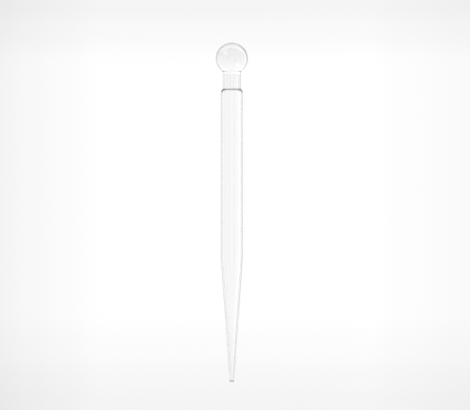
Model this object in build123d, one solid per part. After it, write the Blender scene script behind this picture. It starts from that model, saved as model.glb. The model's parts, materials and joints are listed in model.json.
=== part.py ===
from build123d import *
import math
import os

# Dropping pipette with a push-on squeeze bulb. Millimetres, +Z up along the axis,
# origin at the centre of the jet's end.

# Barrel: 7 mm glass tube, drawn down to a jet below and to a spigot above
BARREL_R = 3.5
BARREL_WALL = 0.5
TAPER_TOP_Z = 38.7
TAPER_BLEND_R = 50.0
JET_R = 0.72
JET_BORE_R = 0.3
JET_ROUND_R = 0.25
JET_LIP_R = 0.1
SHOULDER_TOP_Z = 92.4
SHOULDER_TOP_R = 3.0
SHOULDER_ROUND_R = 1.6
SHOULDER_INNER_ROUND_R = 0.15
SHOULDER_WALL = 0.35
SHOULDER_EDGE_R = 0.06
SPIGOT_R = 2.6
SPIGOT_WALL = 0.27
SPIGOT_LENGTH = 4.75
SPIGOT_ROOT_R = 0.1
SPIGOT_RIM_R = 0.05
SPIGOT_THROAT_R = 0.3

# Bulb: hollow ball on a neck that slides over the spigot
BALL_R = 5.07
BALL_TOP_WALL = 0.5
NECK_R = 2.91
NECK_TO_SPIGOT = 0.03
NECK_TO_SHOULDER = 0.03
NECK_END_ROUND_R = 0.1
NECK_CORNER_ROUND_R = 0.1
CAVITY_CORNER_ROUND_R = 0.2
OVERALL_LENGTH = 107.25


def turned(profile):
    """Revolve a face drawn as (radius, height) once round the axis."""
    return revolve(Plane.XZ * profile, Axis.Z)


def cone_drop(radius):
    """Height lost on the 45 degree shoulder between its top edge and a radius."""
    return radius - SHOULDER_TOP_R


def make_barrel():
    """Jet, taper, parallel barrel, shoulder and spigot: one drawn glass tube."""
    bore_r = BARREL_R - BARREL_WALL
    spigot_bore_r = SPIGOT_R - SPIGOT_WALL
    spigot_top_z = SHOULDER_TOP_Z + SPIGOT_LENGTH
    inner_drop = SHOULDER_WALL * math.sqrt(2)
    corners = [
        ((JET_R, 0), JET_ROUND_R),
        ((BARREL_R, TAPER_TOP_Z), TAPER_BLEND_R),
        ((BARREL_R, SHOULDER_TOP_Z - cone_drop(BARREL_R)), SHOULDER_ROUND_R),
        ((SHOULDER_TOP_R, SHOULDER_TOP_Z), SHOULDER_EDGE_R),
        ((SPIGOT_R, SHOULDER_TOP_Z), SPIGOT_ROOT_R),
        ((SPIGOT_R, spigot_top_z), SPIGOT_RIM_R),
        ((spigot_bore_r, spigot_top_z), SPIGOT_RIM_R),
        ((spigot_bore_r, SHOULDER_TOP_Z - cone_drop(spigot_bore_r) - inner_drop), SPIGOT_THROAT_R),
        ((bore_r, SHOULDER_TOP_Z - cone_drop(bore_r) - inner_drop), SHOULDER_INNER_ROUND_R),
        ((bore_r, TAPER_TOP_Z), TAPER_BLEND_R),
        ((JET_BORE_R, 0), JET_LIP_R),
    ]
    points = [point for point, radius in corners]
    radii = [radius for point, radius in corners]
    outline = FilletPolyline(*points, radius=radii, close=True)
    return turned(make_face(outline))


def make_bulb():
    """Hollow ball and neck: the cavity's corner is level with the outside corner."""
    bore_r = SPIGOT_R + NECK_TO_SPIGOT
    end_z = SHOULDER_TOP_Z + NECK_TO_SHOULDER
    ball_z = OVERALL_LENGTH - BALL_R
    corner_z = ball_z - math.sqrt(BALL_R**2 - NECK_R**2)
    cavity_top_z = OVERALL_LENGTH - BALL_TOP_WALL
    cavity_height = cavity_top_z - corner_z
    cavity_r = (cavity_height**2 + bore_r**2) / (2 * cavity_height)
    cavity_z = cavity_top_z - cavity_r
    outline = Curve() + [
        Polyline((bore_r, corner_z), (bore_r, end_z), (NECK_R, end_z), (NECK_R, corner_z)),
        ThreePointArc((NECK_R, corner_z), (BALL_R, ball_z), (0, OVERALL_LENGTH)),
        Line((0, OVERALL_LENGTH), (0, cavity_top_z)),
        ThreePointArc((0, cavity_top_z), (cavity_r, cavity_z), (bore_r, corner_z)),
    ]
    profile = make_face(outline)
    roundings = [
        ((bore_r, end_z), NECK_END_ROUND_R),
        ((NECK_R, end_z), NECK_END_ROUND_R),
        ((NECK_R, corner_z), NECK_CORNER_ROUND_R),
        ((bore_r, corner_z), CAVITY_CORNER_ROUND_R),
    ]
    for corner, radius in roundings:
        vertex = profile.vertices().sort_by_distance(corner)[0]
        profile = fillet(vertex, radius)
    return turned(profile)


os.makedirs("parts", exist_ok=True)
export_step(make_barrel(), "parts/glass_barrel.step")
export_step(make_bulb(), "parts/squeeze_bulb.step")
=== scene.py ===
import json
import math

import bpy
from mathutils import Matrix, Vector


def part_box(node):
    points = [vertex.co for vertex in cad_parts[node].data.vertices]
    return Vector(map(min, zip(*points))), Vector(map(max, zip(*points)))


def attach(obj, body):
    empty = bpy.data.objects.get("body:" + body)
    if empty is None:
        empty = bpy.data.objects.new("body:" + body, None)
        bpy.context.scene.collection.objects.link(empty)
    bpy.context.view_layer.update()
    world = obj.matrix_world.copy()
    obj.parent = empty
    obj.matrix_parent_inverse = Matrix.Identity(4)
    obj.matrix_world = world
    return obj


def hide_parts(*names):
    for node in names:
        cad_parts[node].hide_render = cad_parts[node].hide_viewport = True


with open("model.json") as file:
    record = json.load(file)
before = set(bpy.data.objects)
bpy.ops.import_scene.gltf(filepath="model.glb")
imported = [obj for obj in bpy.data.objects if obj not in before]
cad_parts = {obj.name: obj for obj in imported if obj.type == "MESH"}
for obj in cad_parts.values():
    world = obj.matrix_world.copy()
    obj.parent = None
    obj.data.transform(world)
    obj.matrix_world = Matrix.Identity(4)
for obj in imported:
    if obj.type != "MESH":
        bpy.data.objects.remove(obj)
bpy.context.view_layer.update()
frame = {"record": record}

MM = 0.001

# Sections of the two pieces, in millimetres. The outer sizes come from the frame.
barrel_low, barrel_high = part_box("glass_barrel")
bulb_low, bulb_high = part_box("squeeze_bulb")
BARREL_R = barrel_high[0] / MM
SPIGOT_TOP_Z = barrel_high[2] / MM
BALL_R = bulb_high[0] / MM
NECK_END_Z = bulb_low[2] / MM
OVERALL_LENGTH = bulb_high[2] / MM

BARREL_WALL = 0.5
TAPER_TOP_Z = 38.7
TAPER_BLEND_R = 50.0
JET_R = 0.72
JET_BORE_R = 0.3
JET_ROUND_R = 0.25
JET_LIP_R = 0.1
SHOULDER_TOP_Z = 92.4
SHOULDER_TOP_R = 3.0
SHOULDER_ROUND_R = 1.6
SHOULDER_INNER_ROUND_R = 0.15
SHOULDER_WALL = 0.35
SHOULDER_EDGE_R = 0.06
SPIGOT_R = 2.6
SPIGOT_WALL = 0.27
SPIGOT_ROOT_R = 0.1
SPIGOT_RIM_R = 0.05
SPIGOT_THROAT_R = 0.3
BALL_TOP_WALL = 0.5
NECK_R = 2.91
NECK_TO_SPIGOT = 0.03
NECK_END_ROUND_R = 0.1
NECK_CORNER_ROUND_R = 0.1
CAVITY_CORNER_ROUND_R = 0.2

# Materials: refractive index, roughness of the specks, heights in metres of the draw lines
# and the swell, and absorption per metre
GLASS = {"index": 1.48, "speck_roughness": 0.015, "line_height": 3e-6, "swell_height": 3e-6,
         "absorption": 1300}
SILICONE = {"index": 1.42, "speck_roughness": 0.03, "line_height": 1e-6, "swell_height": 3e-6,
            "absorption": 100}

# The noise behind each unevenness: its stretch along X, Y and Z, and its scale per metre
LINES_STRETCH = (1, 1, 0.03)
LINES_SCALE = 700
SWELL_STRETCH = (1, 1, 0.5)
SWELL_SCALE = 180
SPECKS_STRETCH = (1, 1, 1)
SPECKS_SCALE = 2500
SPECKS_DETAIL = 3.0
SPECKS_FROM = 0.35
SPECKS_TO = 0.75

# Narrow rings where the surface is not clear: height and reach in millimetres, tint, roughness. The
# roughness is the rough surface there; the tint below 1 is painted shade that darkens the ring.
# RING_CORE is the part of the reach that is full; the rest fades.
RING_CORE = 0.7
# The jet's end is ground rough, and its tint is painted shade for the dark line at the tip.
GROUND_JET_AND_SHADE = (0.3, 0.35, 0.86, 0.5)
# Painted shade: a dark ring on the glass where the bulb's neck ends on the shoulder, drawing the
# dark line at the joint.
SEAM_SHADE_ON_GLASS = (SHOULDER_TOP_Z - 0.04, 0.1, 0.6, 0.1)
# The bulb's cut end is matte, and its dark tint is painted shade along the same joint line.
CUT_END_AND_SHADE = (NECK_END_Z, 0.17, 0.2, 0.1)

# How finely a turned piece is divided
SEGMENTS = 192
ARC_STEP = math.radians(4)
STRAIGHT_STEP = 3.0

# The picture: a level camera with a long lens
PICTURE_WIDTH = 148.5 * MM
PICTURE_CENTRE_X = 1.0 * MM
PICTURE_CENTRE_Z = 55.9 * MM
LENS = 400
SENSOR = 36

# The key light: where it stands in degrees and metres, its width and its brightness
KEY_HEADING = -57
KEY_CLIMB = 43
KEY_DISTANCE = 1.2
KEY_SIZE = 0.55
KEY_RADIANCE = 1.2

# The pale floor, and the light overhead that it alone shows
FLOOR_Z = -60 * MM
FLOOR_R = 0.95
FLOOR_FADE_FROM = 0.6
FLOOR_COLOUR = (0.80, 0.80, 0.81, 1)
FLOOR_LIGHT_DISTANCE = 1.5
FLOOR_LIGHT_SIZE = 2.0
FLOOR_LIGHT_RADIANCE = 0.35

# The clear card behind the object, with painted shade on the background: brightness by metres to
# the right and up from its middle
BACKDROP_DISTANCE = 0.6
BACKDROP_R = 0.2
BACKDROP_SHADE_ACROSS = [
    (-0.2, 1.0), (-0.17, 1.0), (-0.13, 0.9), (-0.102, 0.905), (-0.088, 0.94), (-0.075, 0.965),
    (-0.057, 1.0), (0.057, 1.0), (0.071, 0.975), (0.1, 0.94), (0.13, 0.92), (0.17, 1.0), (0.2, 1.0),
]
BACKDROP_SHADE_UP = [
    (-0.2, 1.0), (-0.17, 1.0), (-0.12, 0.89), (-0.085, 0.907), (-0.075, 0.93), (-0.0625, 0.968),
    (-0.045, 1.0), (0.06, 1.0), (0.0755, 0.95), (0.085, 0.915), (0.12, 0.89), (0.17, 1.0),
    (0.2, 1.0),
]

# The studio's brightness: stops of (degrees, brightness), all multiplied together.
# RISE and GAP go by the angle from the middle of the nearest panel, SIDE by the heading from it,
# HEIGHT by the climb, and FRONT and GAP_DEPTH by the heading from behind the object.
RISE = [(0, 1.0), (5, 1.0), (8, 1.02), (12.5, 1.1), (16, 0.96), (22, 0.93), (33, 1.0), (42, 1.08),
        (60, 1.05), (90, 0.85)]
GAP = [(0, 0.0), (15, 0.0), (20, 0.35), (25, 0.95), (29, 1.0), (34, 0.6), (38, 0.0)]
GAP_DEPTH = [(0, 0.52), (45, 0.52), (60, 0.2), (120, 0.2), (140, 0.45)]
SIDE = [(-45, 1.0), (-38, 1.1), (-27, 1.2), (-20, 1.12), (-8, 0.98), (0, 1.0), (10, 1.1),
        (15, 1.2), (20, 1.0), (27, 0.82), (33, 0.87), (41, 1.05), (45, 1.0)]
HEIGHT = [(-90, 0.7), (-30, 0.9), (-12, 1.0), (-1.5, 1.0), (1.5, 1.0), (5, 0.96), (12, 0.88),
          (20, 0.8), (30, 0.82), (42, 0.97), (90, 1.0)]
FRONT = [(-180, 0.82), (-115, 0.8), (-98, 0.98), (-82, 1.0), (-72, 1.12), (-60, 1.12), (-45, 1.0),
         (45, 1.0), (60, 1.12), (72, 1.12), (82, 0.8), (98, 0.8), (115, 0.8), (180, 0.82)]


def arc(centre, radius, start, end, hollow=False):
    """Points and outward normals along an arc. A hollow arc has the material outside it."""
    count = max(3, math.ceil(abs(end - start) / ARC_STEP))
    side = -1 if hollow else 1
    points = []
    for step in range(count + 1):
        angle = start + (end - start) * step / count
        across, up = math.cos(angle), math.sin(angle)
        place = (centre[0] + radius * across, centre[1] + radius * up)
        points.append((*place, side * across, side * up))
    return points


def straight(start, end):
    """Points strictly between two outline points, with the normal of the line between them."""
    run = Vector(end[:2]) - Vector(start[:2])
    count = math.ceil(run.length / STRAIGHT_STEP)
    normal = Vector((run.y, -run.x)).normalized()
    points = []
    for step in range(1, count):
        place = Vector(start[:2]) + run * step / count
        points.append((place.x, place.y, normal.x, normal.y))
    return points


def rounded_corner(before, corner, after, radius):
    """The arc that rounds one corner of an outline drawn with the material on its left."""
    corner = Vector(corner)
    along_in = (corner - Vector(before)).normalized()
    along_out = (Vector(after) - corner).normalized()
    turn = along_in.angle_signed(along_out) * -1
    reach = radius * math.tan(abs(turn) / 2)
    normal = Vector((along_in.y, -along_in.x))
    side = 1 if turn > 0 else -1
    centre = corner - along_in * reach - normal * radius * side
    start = math.atan2(normal.y * side, normal.x * side)
    return arc(centre, radius, start, start + turn, hollow=turn < 0)


def joined(stretches):
    """One closed outline from arcs in order, with straight lines filled in between them."""
    outline = []
    for index, stretch in enumerate(stretches):
        following = stretches[(index + 1) % len(stretches)]
        outline += stretch
        outline += straight(stretch[-1], following[0])
    return outline


def barrel_outline():
    """Jet, taper, parallel barrel, shoulder and spigot, the same section as the CAD barrel."""
    bore_r = BARREL_R - BARREL_WALL
    spigot_bore_r = SPIGOT_R - SPIGOT_WALL
    inner_top_z = SHOULDER_TOP_Z + SHOULDER_TOP_R - SHOULDER_WALL * math.sqrt(2)
    corners = [
        ((JET_R, 0), JET_ROUND_R),
        ((BARREL_R, TAPER_TOP_Z), TAPER_BLEND_R),
        ((BARREL_R, SHOULDER_TOP_Z + SHOULDER_TOP_R - BARREL_R), SHOULDER_ROUND_R),
        ((SHOULDER_TOP_R, SHOULDER_TOP_Z), SHOULDER_EDGE_R),
        ((SPIGOT_R, SHOULDER_TOP_Z), SPIGOT_ROOT_R),
        ((SPIGOT_R, SPIGOT_TOP_Z), SPIGOT_RIM_R),
        ((spigot_bore_r, SPIGOT_TOP_Z), SPIGOT_RIM_R),
        ((spigot_bore_r, inner_top_z - spigot_bore_r), SPIGOT_THROAT_R),
        ((bore_r, inner_top_z - bore_r), SHOULDER_INNER_ROUND_R),
        ((bore_r, TAPER_TOP_Z), TAPER_BLEND_R),
        ((JET_BORE_R, 0), JET_LIP_R),
    ]
    places = [place for place, radius in corners]
    stretches = []
    for index, (place, radius) in enumerate(corners):
        after = places[(index + 1) % len(places)]
        stretches.append(rounded_corner(places[index - 1], place, after, radius))
    return joined(stretches)


def neck_corner(wall_r, sphere_r, sphere_z, round_r):
    """Centre of the rounding where a vertical wall meets a sphere, and its angle to the sphere."""
    centre_r = wall_r + round_r
    centre_z = sphere_z - math.sqrt((sphere_r + round_r) ** 2 - centre_r**2)
    return (centre_r, centre_z), math.atan2(sphere_z - centre_z, -centre_r)


def bulb_outline():
    """Hollow ball on its neck, the same section as the CAD bulb."""
    bore_r = SPIGOT_R + NECK_TO_SPIGOT
    ball_z = OVERALL_LENGTH - BALL_R
    corner_z = ball_z - math.sqrt(BALL_R**2 - NECK_R**2)
    cavity_top_z = OVERALL_LENGTH - BALL_TOP_WALL
    cavity_height = cavity_top_z - corner_z
    cavity_r = (cavity_height**2 + bore_r**2) / (2 * cavity_height)
    cavity_z = cavity_top_z - cavity_r
    end_r = NECK_END_ROUND_R
    outer, outer_angle = neck_corner(NECK_R, BALL_R, ball_z, NECK_CORNER_ROUND_R)
    inner, inner_angle = neck_corner(bore_r, cavity_r, cavity_z, CAVITY_CORNER_ROUND_R)
    top = math.pi / 2
    ball = arc((0, ball_z), BALL_R, outer_angle - math.pi, top)
    cavity = arc((0, cavity_z), cavity_r, top, inner_angle - math.pi, hollow=True)
    return joined([
        arc((bore_r + end_r, NECK_END_Z + end_r), end_r, math.pi, 1.5 * math.pi),
        arc((NECK_R - end_r, NECK_END_Z + end_r), end_r, 1.5 * math.pi, 2 * math.pi),
        arc(outer, NECK_CORNER_ROUND_R, math.pi, outer_angle, hollow=True)[:-1],
        ball,
        cavity,
        arc(inner, CAVITY_CORNER_ROUND_R, inner_angle, math.pi)[1:],
    ])


def turned(name, outline):
    """A piece made by turning a closed outline round the axis, with the outline's true normals."""
    vertices, normals, rings = [], [], []
    for radius, height, across, up in outline:
        on_axis = radius < 1e-6
        count = 1 if on_axis else SEGMENTS
        rings.append([len(vertices) + index for index in range(count)])
        for index in range(count):
            angle = 2 * math.pi * index / SEGMENTS
            c, s = math.cos(angle), math.sin(angle)
            vertices.append((radius * c * MM, radius * s * MM, height * MM))
            normals.append((0, 0, up) if on_axis else (across * c, across * s, up))
    faces = []
    for ring, following in zip(rings, rings[1:] + rings[:1]):
        for index in range(SEGMENTS):
            after = (index + 1) % SEGMENTS
            loop = [ring[index % len(ring)], ring[after % len(ring)]]
            loop += [following[after % len(following)], following[index % len(following)]]
            face = list(dict.fromkeys(loop))
            if len(face) > 2:
                faces.append(face)
    mesh = bpy.data.meshes.new(name)
    mesh.from_pydata(vertices, [], faces)
    mesh.shade_smooth()
    mesh.normals_split_custom_set_from_vertices(normals)
    piece = bpy.data.objects.new(name, mesh)
    bpy.context.scene.collection.objects.link(piece)
    return piece


def add_node(tree, kind, **settings):
    """A node with its properties set."""
    node = tree.nodes.new(kind)
    for key, value in settings.items():
        setattr(node, key, value)
    return node


def feed(tree, node, **sources):
    """Give a node's sockets values or the outputs that feed them. _ stands for a space."""
    for key, source in sources.items():
        socket = node.inputs[key.replace("_", " ")]
        if isinstance(source, bpy.types.NodeSocket):
            tree.links.new(source, socket)
        else:
            socket.default_value = source


def calculated(tree, operation, *values):
    """The output of a Math node."""
    node = add_node(tree, "ShaderNodeMath", operation=operation)
    for socket, value in zip(node.inputs, values):
        if isinstance(value, bpy.types.NodeSocket):
            tree.links.new(value, socket)
        else:
            socket.default_value = value
    return node.outputs[0]


def noise(tree, place, stretch, scale, detail=2.0):
    """Noise over the object's own metres, stretched by a factor for each axis."""
    mapping = add_node(tree, "ShaderNodeMapping")
    feed(tree, mapping, Vector=place, Scale=stretch)
    texture = add_node(tree, "ShaderNodeTexNoise")
    feed(tree, texture, Vector=mapping.outputs[0], Scale=scale, Detail=detail)
    return texture.outputs["Fac"]


def ring_mask(tree, place, height, reach):
    """1 within reach of a height on the axis, falling to 0 at its edges."""
    axes = add_node(tree, "ShaderNodeSeparateXYZ")
    feed(tree, axes, Vector=place)
    distance = calculated(tree, "ABSOLUTE",
                          calculated(tree, "SUBTRACT", axes.outputs["Z"], height))
    mask = add_node(tree, "ShaderNodeMapRange", interpolation_type="SMOOTHSTEP")
    feed(tree, mask, Value=distance, From_Min=RING_CORE * reach, From_Max=reach, To_Min=1.0,
         To_Max=0.0)
    return mask.outputs[0]


def clear_material(name, slot, rings, index, speck_roughness, line_height, swell_height,
                   absorption):
    """A clear, faintly uneven material with a few narrow rings, rougher and darkened by painted
    shade.
    """
    colour = next(m["base_color"] for m in frame["record"]["materials"] if m["slot"] == slot)
    grey = sum(colour[:3]) / 3
    material = bpy.data.materials.new(name)
    material.use_nodes = True
    tree = material.node_tree
    shader = tree.nodes["Principled BSDF"]
    place = add_node(tree, "ShaderNodeTexCoord").outputs["Object"]
    lines = noise(tree, place, LINES_STRETCH, LINES_SCALE)
    swell = noise(tree, place, SWELL_STRETCH, SWELL_SCALE)
    specks = noise(tree, place, SPECKS_STRETCH, SPECKS_SCALE, detail=SPECKS_DETAIL)
    fine = add_node(tree, "ShaderNodeBump")
    feed(tree, fine, Height=lines, Distance=line_height, Strength=1.0)
    broad = add_node(tree, "ShaderNodeBump")
    feed(tree, broad, Height=swell, Distance=swell_height, Strength=1.0, Normal=fine.outputs[0])
    speckled = add_node(tree, "ShaderNodeMapRange")
    feed(tree, speckled, Value=specks, From_Min=SPECKS_FROM, From_Max=SPECKS_TO, To_Min=0.0,
         To_Max=speck_roughness)
    roughness = speckled.outputs[0]
    # Painted shade: each ring darkens the base colour by its tint, and roughens the surface.
    painted_shade = 1.0
    for ring_z, reach, ring_shade_level, ring_rough in rings:
        mask = ring_mask(tree, place, ring_z * MM, reach * MM)
        roughness = calculated(tree, "MULTIPLY_ADD", mask, ring_rough, roughness)
        painted_shade = calculated(tree, "MULTIPLY_ADD", mask, ring_shade_level - 1, painted_shade)
    feed(tree, shader, Base_Color=painted_shade, IOR=index, Transmission_Weight=1.0, Roughness=roughness,
         Normal=broad.outputs[0])
    volume = add_node(tree, "ShaderNodeVolumeAbsorption")
    feed(tree, volume, Color=(grey, grey, grey, 1), Density=absorption)
    tree.links.new(volume.outputs[0], tree.nodes["Material Output"].inputs["Volume"])
    return material


def make_barrel():
    """The glass barrel, lined faintly along its length by drawing, with a ground jet, and painted
    shade darkening the jet's end and a ring at the top of the shoulder.
    """
    piece = turned("barrel_glass", barrel_outline())
    glass = clear_material("clear glass", "clear_glass", [GROUND_JET_AND_SHADE, SEAM_SHADE_ON_GLASS], **GLASS)
    piece.data.materials.append(glass)
    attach(piece, "barrel")
    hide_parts("glass_barrel")


def make_bulb():
    """The silicone bulb, smooth and faintly rippled, with a matte cut end darkened by painted
    shade.
    """
    piece = turned("bulb_silicone", bulb_outline())
    silicone = clear_material("clear silicone", "clear_silicone", [CUT_END_AND_SHADE], **SILICONE)
    piece.data.materials.append(silicone)
    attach(piece, "bulb")
    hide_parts("squeeze_bulb")


def ramp(tree, source, low, high, stops):
    """A brightness that follows (value, brightness) stops between low and high."""
    node = add_node(tree, "ShaderNodeValToRGB")
    node.color_ramp.interpolation = "EASE"
    elements = node.color_ramp.elements
    elements.remove(elements[-1])
    for index, (value, level) in enumerate(stops):
        position = (value - low) / (high - low)
        element = elements[0] if index == 0 else elements.new(position)
        element.position = position
        element.color = (level, level, level, 1)
    shifted = add_node(tree, "ShaderNodeMapRange")
    feed(tree, shifted, Value=source, From_Min=low, From_Max=high)
    tree.links.new(shifted.outputs[0], node.inputs[0])
    return node.outputs[0]


def make_world():
    """A studio that shows clear glass: bright panels, a grey gap round each, a bright surround.

    Four panels stand round the horizon, so that every level view has one behind the object.
    Away from the middle of the nearest panel the light holds, dips in the gap that draws the
    dark outlines, and comes back. The gap is darker above and on the right, and the side behind
    the camera is dimmer.
    """
    world = bpy.data.worlds.new("studio")
    bpy.context.scene.world = world
    world.use_nodes = True
    tree = world.node_tree
    direction = add_node(tree, "ShaderNodeTexCoord").outputs["Generated"]
    axes = add_node(tree, "ShaderNodeSeparateXYZ")
    feed(tree, axes, Vector=direction)
    heading = calculated(tree, "ARCTAN2", axes.outputs["X"], axes.outputs["Y"])
    climb = calculated(tree, "ARCSINE", axes.outputs["Z"])
    aside = calculated(tree, "WRAP", heading, math.pi / 4, -math.pi / 4)
    across = calculated(tree, "MULTIPLY", calculated(tree, "COSINE", aside),
                        calculated(tree, "COSINE", climb))
    away = calculated(tree, "DEGREES", calculated(tree, "ARCCOSINE", across))
    aside = calculated(tree, "DEGREES", aside)
    climb = calculated(tree, "DEGREES", climb)
    heading = calculated(tree, "DEGREES", heading)
    facing = calculated(tree, "ABSOLUTE", heading)
    rise = ramp(tree, away, 0, 90, RISE)
    gap = ramp(tree, away, 0, 90, GAP)
    depth = ramp(tree, facing, 0, 180, GAP_DEPTH)
    gap_left = calculated(tree, "SUBTRACT", 1.0, calculated(tree, "MULTIPLY", gap, depth))
    side = ramp(tree, aside, -45, 45, SIDE)
    height = ramp(tree, climb, -90, 90, HEIGHT)
    front = ramp(tree, heading, -180, 180, FRONT)
    light = calculated(tree, "MULTIPLY", rise, gap_left)
    for factor in (side, height, front):
        light = calculated(tree, "MULTIPLY", light, factor)
    feed(tree, tree.nodes["Background"], Color=light)


def area_light(name, heading, climb, distance, size, radiance):
    """A square soft light aimed at the middle of the object. Heading 0 is behind the camera."""
    middle = Vector((0, 0, PICTURE_CENTRE_Z))
    across, up = math.radians(heading), math.radians(climb)
    direction = Vector((math.sin(across) * math.cos(up), -math.cos(across) * math.cos(up),
                        math.sin(up)))
    data = bpy.data.lights.new(name, "AREA")
    data.size = size
    data.energy = radiance * math.pi * size**2
    light = bpy.data.objects.new(name, data)
    light.location = middle + direction * distance
    light.rotation_euler = (-direction).to_track_quat("-Z", "Y").to_euler()
    bpy.context.scene.collection.objects.link(light)
    return light


def make_lights():
    """The key light, and a light overhead that the floor alone shows."""
    area_light("key", KEY_HEADING, KEY_CLIMB, KEY_DISTANCE, KEY_SIZE, KEY_RADIANCE)
    over = area_light("floor light", 0, 90, FLOOR_LIGHT_DISTANCE, FLOOR_LIGHT_SIZE,
                      FLOOR_LIGHT_RADIANCE)
    over.visible_camera = False
    over.visible_glossy = False
    over.visible_transmission = False


def make_floor():
    """A pale round floor that fades away at its rim."""
    bpy.ops.mesh.primitive_circle_add(vertices=128, radius=FLOOR_R, fill_type="NGON",
                                      location=(0, 0, FLOOR_Z))
    floor = bpy.context.object
    floor.name = "floor"
    material = bpy.data.materials.new("floor")
    material.use_nodes = True
    tree = material.node_tree
    shader = tree.nodes["Principled BSDF"]
    place = add_node(tree, "ShaderNodeTexCoord").outputs["Object"]
    distance = add_node(tree, "ShaderNodeVectorMath", operation="LENGTH")
    tree.links.new(place, distance.inputs[0])
    fade = add_node(tree, "ShaderNodeMapRange", interpolation_type="SMOOTHSTEP")
    feed(tree, fade, Value=distance.outputs["Value"], From_Min=FLOOR_FADE_FROM, From_Max=FLOOR_R,
         To_Min=1.0, To_Max=0.0)
    feed(tree, shader, Base_Color=FLOOR_COLOUR, Roughness=0.9, Alpha=fade.outputs[0])
    floor.data.materials.append(material)


def make_backdrop():
    """A clear card behind the object, with painted shade that greys the background towards the
    picture's edges and corners.
    """
    middle = (PICTURE_CENTRE_X, BACKDROP_DISTANCE, PICTURE_CENTRE_Z)
    bpy.ops.mesh.primitive_circle_add(vertices=128, radius=BACKDROP_R, fill_type="NGON",
                                      location=middle, rotation=(math.radians(90), 0, 0))
    card = bpy.context.object
    card.name = "backdrop"
    material = bpy.data.materials.new("backdrop")
    material.use_nodes = True
    tree = material.node_tree
    tree.nodes.remove(tree.nodes["Principled BSDF"])
    place = add_node(tree, "ShaderNodeTexCoord").outputs["Object"]
    axes = add_node(tree, "ShaderNodeSeparateXYZ")
    feed(tree, axes, Vector=place)
    # Painted shade: darker towards the card's rim, across and up.
    across = ramp(tree, axes.outputs["X"], -BACKDROP_R, BACKDROP_R, BACKDROP_SHADE_ACROSS)
    up = ramp(tree, axes.outputs["Y"], -BACKDROP_R, BACKDROP_R, BACKDROP_SHADE_UP)
    shade = calculated(tree, "MULTIPLY", across, up)
    clear = add_node(tree, "ShaderNodeBsdfTransparent")
    feed(tree, clear, Color=shade)
    tree.links.new(clear.outputs[0], tree.nodes["Material Output"].inputs["Surface"])
    card.data.materials.append(material)


def make_camera():
    """A level camera whose picture takes in the whole pipette."""
    data = bpy.data.cameras.new("camera")
    data.sensor_width = SENSOR
    data.lens = LENS
    data.clip_end = 100
    camera = bpy.data.objects.new("camera", data)
    distance = LENS / SENSOR * PICTURE_WIDTH
    camera.location = (PICTURE_CENTRE_X, -distance, PICTURE_CENTRE_Z)
    camera.rotation_euler = (math.radians(90), 0, 0)
    bpy.context.scene.collection.objects.link(camera)
    bpy.context.scene.camera = camera


make_camera()
make_barrel()
make_bulb()
make_world()
make_lights()
make_floor()
make_backdrop()
bpy.context.scene.view_settings.view_transform = "Standard"
